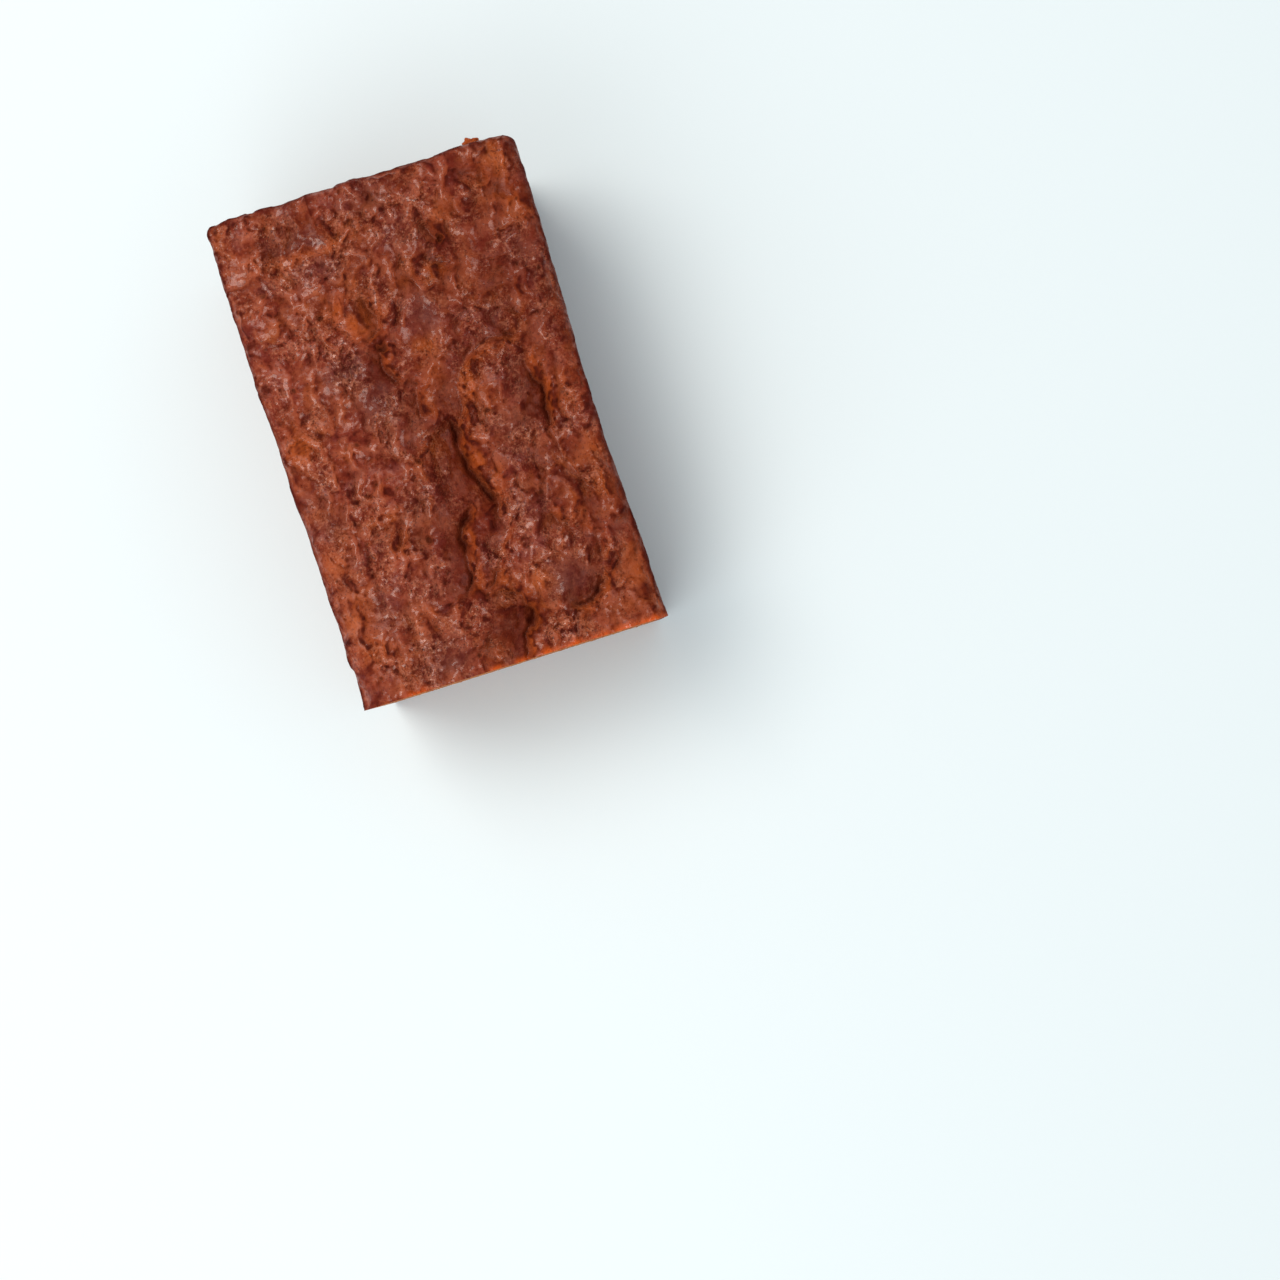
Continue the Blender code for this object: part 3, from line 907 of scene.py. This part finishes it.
def piece(name, bm, soft_normals=False):
    """Make an object of a mesh, smooth, at the origin."""
    mesh = bpy.data.meshes.new(name)
    for face in bm.faces:
        face.material_index = 0
        face.smooth = True
    bm.to_mesh(mesh)
    if soft_normals:
        normals = [Vector(v.vector) for v in mesh.attributes["soft_normal"].data]
        mesh.normals_split_custom_set_from_vertices(normals)
        mesh.attributes.remove(mesh.attributes["soft_normal"])
    made = bpy.data.objects.new(name, mesh)
    bpy.context.scene.collection.objects.link(made)
    print(name, "has", sum(len(p.vertices) - 2 for p in mesh.polygons), "triangles")
    return made


def fill_base(bm):
    """Put one flat face where the base lies on the plate."""
    lowest = LOAF_LOW.z * MM + 1e-7
    flat = [face for face in bm.faces if all(v.co.z < lowest for v in face.verts)]
    bmesh.ops.delete(bm, geom=flat, context="FACES")
    rim = [e for e in bm.edges if e.is_boundary and all(v.co.z < lowest for v in e.verts)]
    bmesh.ops.contextual_create(bm, geom=rim)


print("each side is mapped flat along", FLAT_AXES)

# %% The six sides
soft = crust_skin.verts.layers.float_vector.new("soft_normal")
for vertex in crust_skin.verts:
    vertex[soft] = vertex.normal
pieces = {}
for index, side in enumerate(SIDES):
    side_mesh = cut_skin if index == CUT else only(crust_skin, {index})
    if side == "crust_base":
        fill_base(side_mesh)
    lay_flat_map(side_mesh, FLAT_AXES[side.split("_")[1]])
    pieces[side] = piece(side, side_mesh, soft_normals=index != CUT)
    side_mesh.free()
crust_skin.free()

# %% [markdown]
# ## A crumb flake
#
# A flake of torn crumb sticks out at the back edge, where the loaf clung to its tin. It is a small ball,
# flattened and roughened by noise, and sunk halfway into the crust.

# %% The flake
FLAKE_PLACE = Vector((37.5, LENGTH / 2 + 0.4, HEIGHT - 3.5))
FLAKE_SIZE = Vector((2.6, 1.5, 1.3))


def make_flake():
    flake = bmesh.new()
    bmesh.ops.create_icosphere(flake, subdivisions=4, radius=1.0)
    browning = [flake.verts.layers.float.new(name) for name in ("amber", "torn", "top")]
    for vertex in flake.verts:
        lumpy = 1.0 + 0.5 * noise.noise(vertex.co * 1.9 + Vector((4, 2, 7)))
        tip = 1.0 + 0.5 * bell((vertex.co - Vector((-0.5, 0.85, 0.1))).length, 0.45)
        vertex.co = (FLAKE_PLACE + shift + vertex.co * lumpy * tip * FLAKE_SIZE) * MM
        for layer in browning:
            vertex[layer] = 0.8
    bmesh.ops.recalc_face_normals(flake, faces=flake.faces)
    made = piece("crumb_flake", flake)
    flake.free()
    return made


pieces["crumb_flake"] = make_flake()

# %% [markdown]
# ## Writing finishes as sums
#
# A finish is a network of nodes, but it reads best as arithmetic. The class below wraps a socket, so that
# adding or multiplying two of them adds a Math node. Colours can't go through Math nodes, which would
# turn them grey, so they have a method of their own that adds a Mix node. Every other node comes from one
# method.

# %% Colours and values
def colour(red, green, blue):
    """A display colour, each part 0 to 255, as the linear colour that shaders use."""
    parts = [part / 255.0 for part in (red, green, blue)]
    return [p / 12.92 if p < 0.04045 else ((p + 0.055) / 1.055) ** 2.4 for p in parts] + [1.0]


class Value:
    """One socket of a finish. Arithmetic on it adds Math nodes."""

    def __init__(self, finish, socket):
        self.finish = finish
        self.socket = socket

    def maths(self, operation, first, second=0.0, **settings):
        return self.finish.node("ShaderNodeMath", {"operation": operation, **settings}, {0: first, 1: second})

    def __add__(self, other):
        return self.maths("ADD", self, other)

    def __sub__(self, other):
        return self.maths("SUBTRACT", self, other)

    def __rsub__(self, other):
        return self.maths("SUBTRACT", other, self)

    def __mul__(self, other):
        return self.maths("MULTIPLY", self, other)

    def __pow__(self, other):
        return self.maths("POWER", self, other)

    __radd__ = __add__

    def clamped(self):
        return self.maths("ADD", self, 0.0, use_clamp=True)

    def eased(self, low, high):
        """0 below low, 1 above high and an even ease between."""
        return self.finish.node(
            "ShaderNodeMapRange", {"interpolation_type": "SMOOTHSTEP"}, {"Value": self, 1: low, 2: high}
        )


print("crust brown is", [round(part, 3) for part in colour(128, 62, 39)[:3]])

# %% Finishes
class Finish:
    """A new material and the nodes that are added to it."""

    def __init__(self, name):
        self.material = bpy.data.materials.new(name)
        self.material.use_nodes = True
        self.tree = self.material.node_tree
        self.shader = self.tree.nodes["Principled BSDF"]

    def node(self, kind, settings, inputs, output=0):
        """Add any node: its settings first, then the values or links of its sockets."""
        made = self.tree.nodes.new(kind)
        for name, value in settings.items():
            setattr(made, name, value)
        self.feed(made, inputs)
        return Value(self, made.outputs[output])

    def feed(self, made, inputs):
        """Set or link some of a node's sockets."""
        for key, value in inputs.items():
            if isinstance(value, Value):
                self.tree.links.new(value.socket, made.inputs[key])
            else:
                made.inputs[key].default_value = value

    def stored(self, name):
        """A value kept on the mesh's points."""
        return self.node("ShaderNodeAttribute", {"attribute_name": name}, {}, output="Fac")

    def millimetres(self):
        """The place of a point on the object, in millimetres."""
        where = self.node("ShaderNodeTexCoord", {}, {}, output="Object")
        return self.node("ShaderNodeVectorMath", {"operation": "SCALE"}, {0: where, "Scale": 1.0 / MM})

    def noise(self, where, size, detail=2.0, roughness=0.5):
        """Soft noise, 0 to 1, whose features are about a given size in millimetres."""
        return self.node("ShaderNodeTexNoise", {}, {
            "Vector": where, "Scale": 1.0 / size, "Detail": detail, "Roughness": roughness,
        })

    def cells(self, where, size):
        """Distance from the nearest of scattered points, which lie about a given size apart."""
        return self.node("ShaderNodeTexVoronoi", {}, {"Vector": where, "Scale": 1.0 / size})

    def mixed(self, share, first, second):
        """A colour between two colours."""
        settings = {"data_type": "RGBA", "clamp_factor": True}
        return self.node("ShaderNodeMix", settings, {0: share, 6: first, 7: second}, output=2)

    def layered(self, base, *layers):
        """A colour with others laid over it in turn, each given by its share and its display colour."""
        for share, over in layers:
            base = self.mixed(share, base, colour(*over))
        return base

    def bumped(self, height, distance):
        """A normal bent by a height, which is 1 for the given distance in millimetres."""
        return self.node("ShaderNodeBump", {}, {"Height": height, "Distance": distance * MM})


print("a finish has", [name for name in vars(Finish) if not name.startswith("_")], "to build with")

# %% [markdown]
# ## The crust's finish
#
# Baked crust browns by its sugar, and torn sides stay orange. Light and shade are painted into its colour
# from its shape as well: crests are painted lighter, the torn sides, which face the light, carry painted
# light on their orange, rolled sides get a deep red-brown painted shade, and cracks, pits, pores, hollows,
# valleys and the low spots of the grain go nearly black with painted shade. Some patches are painted darker,
# and pale flecks in the froth are painted glints. All of that is read from the values kept on the mesh, and
# noise at several sizes breaks the colour up. The colours are laid over each other, the finest marks last.
# The skin itself is matt. Only moist patches, crests and the grain of the froth are sticky enough to glisten,
# so the gloss is a coat that comes and goes.

# %% Crust
def crust_finish():
    finish = Finish("crust")
    where = finish.millimetres()
    mottle = finish.noise(where, 5.5, detail=4.0, roughness=0.62)
    grain = finish.noise(where, 1.1, detail=3.0, roughness=0.6)
    drift = finish.noise(where, 20.0, detail=2.0)
    blush = finish.noise(where, 8.0, detail=3.0, roughness=0.6)
    glint_fleck = finish.noise(where, 1.3, detail=2.0).eased(0.5, 0.64)
    glint_dots = finish.noise(where, 0.6, detail=1.0).eased(0.54, 0.68)
    bubbles = finish.cells(where, 0.9)
    # the pores of the bump, where the finish paints shade
    pore = bubbles.eased(0.32, 0.12) * finish.noise(where, 3.3).eased(0.47, 0.58)
    crack, rolled, torn = finish.stored("crack"), finish.stored("rolled"), finish.stored("torn")
    pit, grainy, rim = finish.stored("pit"), finish.stored("grainy"), finish.stored("rim")
    hollow, valley, baked = finish.stored("hollow"), finish.stored("valley"), finish.stored("baked")
    dusk, amber, top = finish.stored("dusk"), finish.stored("amber"), finish.stored("top")
    proud = (0.0 - valley).eased(-0.3, 0.7)
    wall = 1.0 - top

    brown = finish.layered(
        finish.mixed(mottle.eased(0.3, 0.7), colour(92, 25, 9), colour(152, 66, 32)),
        (drift.eased(0.4, 0.6) * 0.4, (122, 40, 30)),
        (blush.eased(0.52, 0.68) * top * 0.3, (168, 82, 34)),
        (blush.eased(0.48, 0.32) * top * 0.5, (108, 46, 44)),
        # painted light: crests are painted lighter and pinker, as if caught by the light
        (proud * (1.0 - baked * 0.8) * 0.45, (180, 93, 58)),
        ((amber * (0.5 + mottle)).clamped() * 0.75, (174, 80, 27)),
        ((dusk * (0.5 + mottle * 0.8)).clamped() * 0.8, (84, 39, 36)),
        (wall * 0.75, (112, 46, 23)),
        (drift.eased(0.48, 0.66) * wall * 0.3, (146, 74, 36)),
        # patches painted darker
        (baked * 0.5, (80, 20, 6)),
        # painted shade on the rolled sides of the splits, which face away from the light
        (rolled * 0.65, (82, 17, 5)),
        # the torn sides' orange: partly the torn crust's own colour, partly painted light on sides that face
        # the light
        (torn * (0.3 + mottle * 0.9) * 0.6, (172, 76, 23)),
        # painted glints: pale pinkish flecks, most of them in the froth
        (glint_fleck * (0.06 + grainy * 0.44), (202, 118, 82)),
        # painted glints: finer pale dots in the froth
        (glint_dots * grainy * 0.3, (220, 144, 106)),
        # painted shade in the broad valleys
        (valley.eased(0.0, 0.8) * 0.8, (78, 13, 3)),
        # painted shade in the low spots of the grain that also bumps the surface
        (grain.eased(0.46, 0.32) * (0.42 + grainy * 0.4), (70, 12, 3)),
        # painted shade in the small hollows
        (hollow.eased(0.04, 0.4) * 0.8, (56, 9, 2)),
        # painted shade in the tiny pores
        (pore * 0.65, (62, 11, 2)),
        # painted shade in the pits
        (pit * 0.45, (62, 11, 2)),
        # painted shade in the cracks and lone holes
        (crack ** 1.5 * 0.7, (50, 8, 2)),
        (rim * 0.9, (206, 84, 24)),
    )

    height = grain + (glint_fleck * 0.6 + bubbles.eased(0.0, 0.6)) * (0.2 + grainy)
    sticky = mottle.eased(0.43, 0.61) * 0.48 + proud * 0.25 + grainy * glint_fleck * 0.65
    sticky = sticky * (1.0 - baked * 0.4) * (0.25 + top * 0.75)
    finish.feed(finish.shader, {
        "Base Color": brown,
        "Roughness": 0.58 - grainy * 0.12 + mottle * 0.1,
        "Normal": finish.bumped(height, 0.3),
        "Coat Weight": (sticky * (1.0 - crack) * (1.0 - pit) * (1.0 - hollow.eased(0.0, 0.2))).clamped(),
        "Coat Roughness": 0.12,
        "Specular IOR Level": 0.06,
    })
    return finish.material


crust_material = crust_finish()
print("the crust's finish has", len(crust_material.node_tree.nodes), "nodes")

# %% [markdown]
# ## The crumb's finish
#
# Crumb is a foam: light catches the thin walls between the bubbles and dies inside them, so the walls are
# painted light and the pores, specks and hollows painted shade. The face is golden in the middle and browns
# through orange to the thin dark crust. Fruit left pale, slightly green smears, and darker plum ones.

# %% Crumb
def crumb_finish():
    finish = Finish("crumb")
    where = finish.millimetres()
    mottle = finish.noise(where, 7.0, detail=4.0, roughness=0.65)
    grain = finish.noise(where, 1.2, detail=4.0, roughness=0.7)
    curds = finish.cells(where, 1.5)
    speck = curds.eased(0.3, 0.14) * finish.noise(where, 2.8).eased(0.46, 0.6)
    pore, rind, hollow = finish.stored("pit"), finish.stored("rind"), finish.stored("hollow")
    fruit, plum = finish.stored("fruit"), finish.stored("dusk")

    gold = finish.layered(
        finish.mixed(mottle.eased(0.34, 0.66), colour(164, 86, 34), colour(204, 124, 60)),
        ((fruit * (0.4 + mottle)).clamped() * 0.7, (172, 124, 62)),
        ((plum * (0.4 + mottle)).clamped() * 0.8, (92, 50, 46)),
        (rind.eased(0.02, 0.7) * 0.85, (190, 76, 24)),
        (rind.eased(0.72, 1.0), (104, 38, 18)),
        # painted light on the bubble walls, the high spots of the grain that also bumps the face
        (grain.eased(0.5, 0.7) * 0.6, (222, 158, 100)),
        # painted shade in the low spots of the grain
        (grain.eased(0.48, 0.3) * 0.6, (116, 56, 20)),
        # painted shade in the small pores
        (speck * 0.6, (96, 44, 14)),
        # painted shade in the hollows
        (hollow.eased(0.02, 0.3) * 0.6, (98, 42, 14)),
        # painted shade in the pores
        (pore.eased(0.1, 0.9) * 0.7, (88, 38, 12)),
    )

    finish.feed(finish.shader, {
        "Base Color": gold,
        "Roughness": 0.68 - fruit * 0.15 - grain * 0.1,
        "Normal": finish.bumped(grain + curds.eased(0.0, 0.6) * 0.5 - speck * 0.6, 0.45),
        "Specular IOR Level": 0.2,
    })
    return finish.material


crumb_material = crumb_finish()
print("the crumb's finish has", len(crumb_material.node_tree.nodes), "nodes")

# %% Which piece gets which
for side, made in pieces.items():
    is_cut = side == "cut_face"
    made.data.materials.append(crumb_material if is_cut else crust_material)
    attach(made, "root")
    if side in SIDES:
        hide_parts("loaf")
print("finished", len(pieces), "pieces")

# %% [markdown]
# ## Floor, light and camera
#
# The loaf lies on a plain pale surface in soft daylight from its left. One large area light gives the
# broad, soft shadow, and a bright sky fills it. The camera looks straight down, turned a little against
# the loaf.

# %% Floor
FLOOR_HALF = 4.0


def make_floor():
    bm = bmesh.new()
    bmesh.ops.create_grid(bm, x_segments=1, y_segments=1, size=FLOOR_HALF)
    mesh = bpy.data.meshes.new("floor")
    bm.to_mesh(mesh)
    bm.free()
    floor = bpy.data.objects.new("floor", mesh)
    floor.location.z = LOAF_LOW.z * MM
    bpy.context.scene.collection.objects.link(floor)
    finish = Finish("pale surface")
    finish.feed(finish.shader, {"Base Color": (0.775, 0.842, 0.856, 1.0), "Roughness": 0.7})
    mesh.materials.append(finish.material)
    return floor


floor = make_floor()
print("a pale surface,", 2 * FLOOR_HALF, "m across, at", floor.location.z, "m")

# %% Light
TURN = math.radians(-17.4)          # how far the camera is turned against the loaf
SCREEN_RIGHT = Vector((math.cos(TURN), math.sin(TURN), 0))
SCREEN_UP = Vector((-math.sin(TURN), math.cos(TURN), 0))


def soft_light(name, side, up, height, size, power, tint):
    """A square area light that looks at the loaf, placed by how the camera sees it."""
    light = bpy.data.lights.new(name, "AREA")
    light.shape = "SQUARE"
    light.size = size
    light.energy = power
    light.color = tint
    lamp = bpy.data.objects.new(name, light)
    lamp.location = SCREEN_RIGHT * side + SCREEN_UP * up + Vector((0, 0, height))
    lamp.rotation_euler = (-lamp.location).to_track_quat("-Z", "Y").to_euler()
    bpy.context.scene.collection.objects.link(lamp)
    return lamp


soft_light("window", side=-1.05, up=0.61, height=2.2, size=1.4, power=36.0, tint=(1.0, 0.94, 0.88))
soft_light("reflector", side=-0.45, up=-0.85, height=0.9, size=1.0, power=4.6, tint=(1.0, 0.99, 0.98))
world = bpy.data.worlds.new("sky")
bpy.context.scene.world = world
world.use_nodes = True
world.node_tree.nodes["Background"].inputs["Color"].default_value = (0.91, 0.98, 1.02, 1.0)
world.node_tree.nodes["Background"].inputs["Strength"].default_value = 0.63
bpy.context.scene.view_settings.view_transform = "Standard"
print("two soft lights and a pale sky")

# %% Camera
LENS = 68.0
CAMERA_PLACE = Vector((0.0431, -0.0905, 0.8885))
lens = bpy.data.cameras.new("camera")
lens.lens = LENS
lens.sensor_width = 36.0
camera = bpy.data.objects.new("camera", lens)
camera.location = CAMERA_PLACE
camera.rotation_euler = (0.0, 0.0, TURN)
bpy.context.scene.collection.objects.link(camera)
bpy.context.scene.camera = camera
print("the camera looks down from", CAMERA_PLACE.z, "m")

# %% Bringing the scene up to date
bpy.context.view_layer.update()
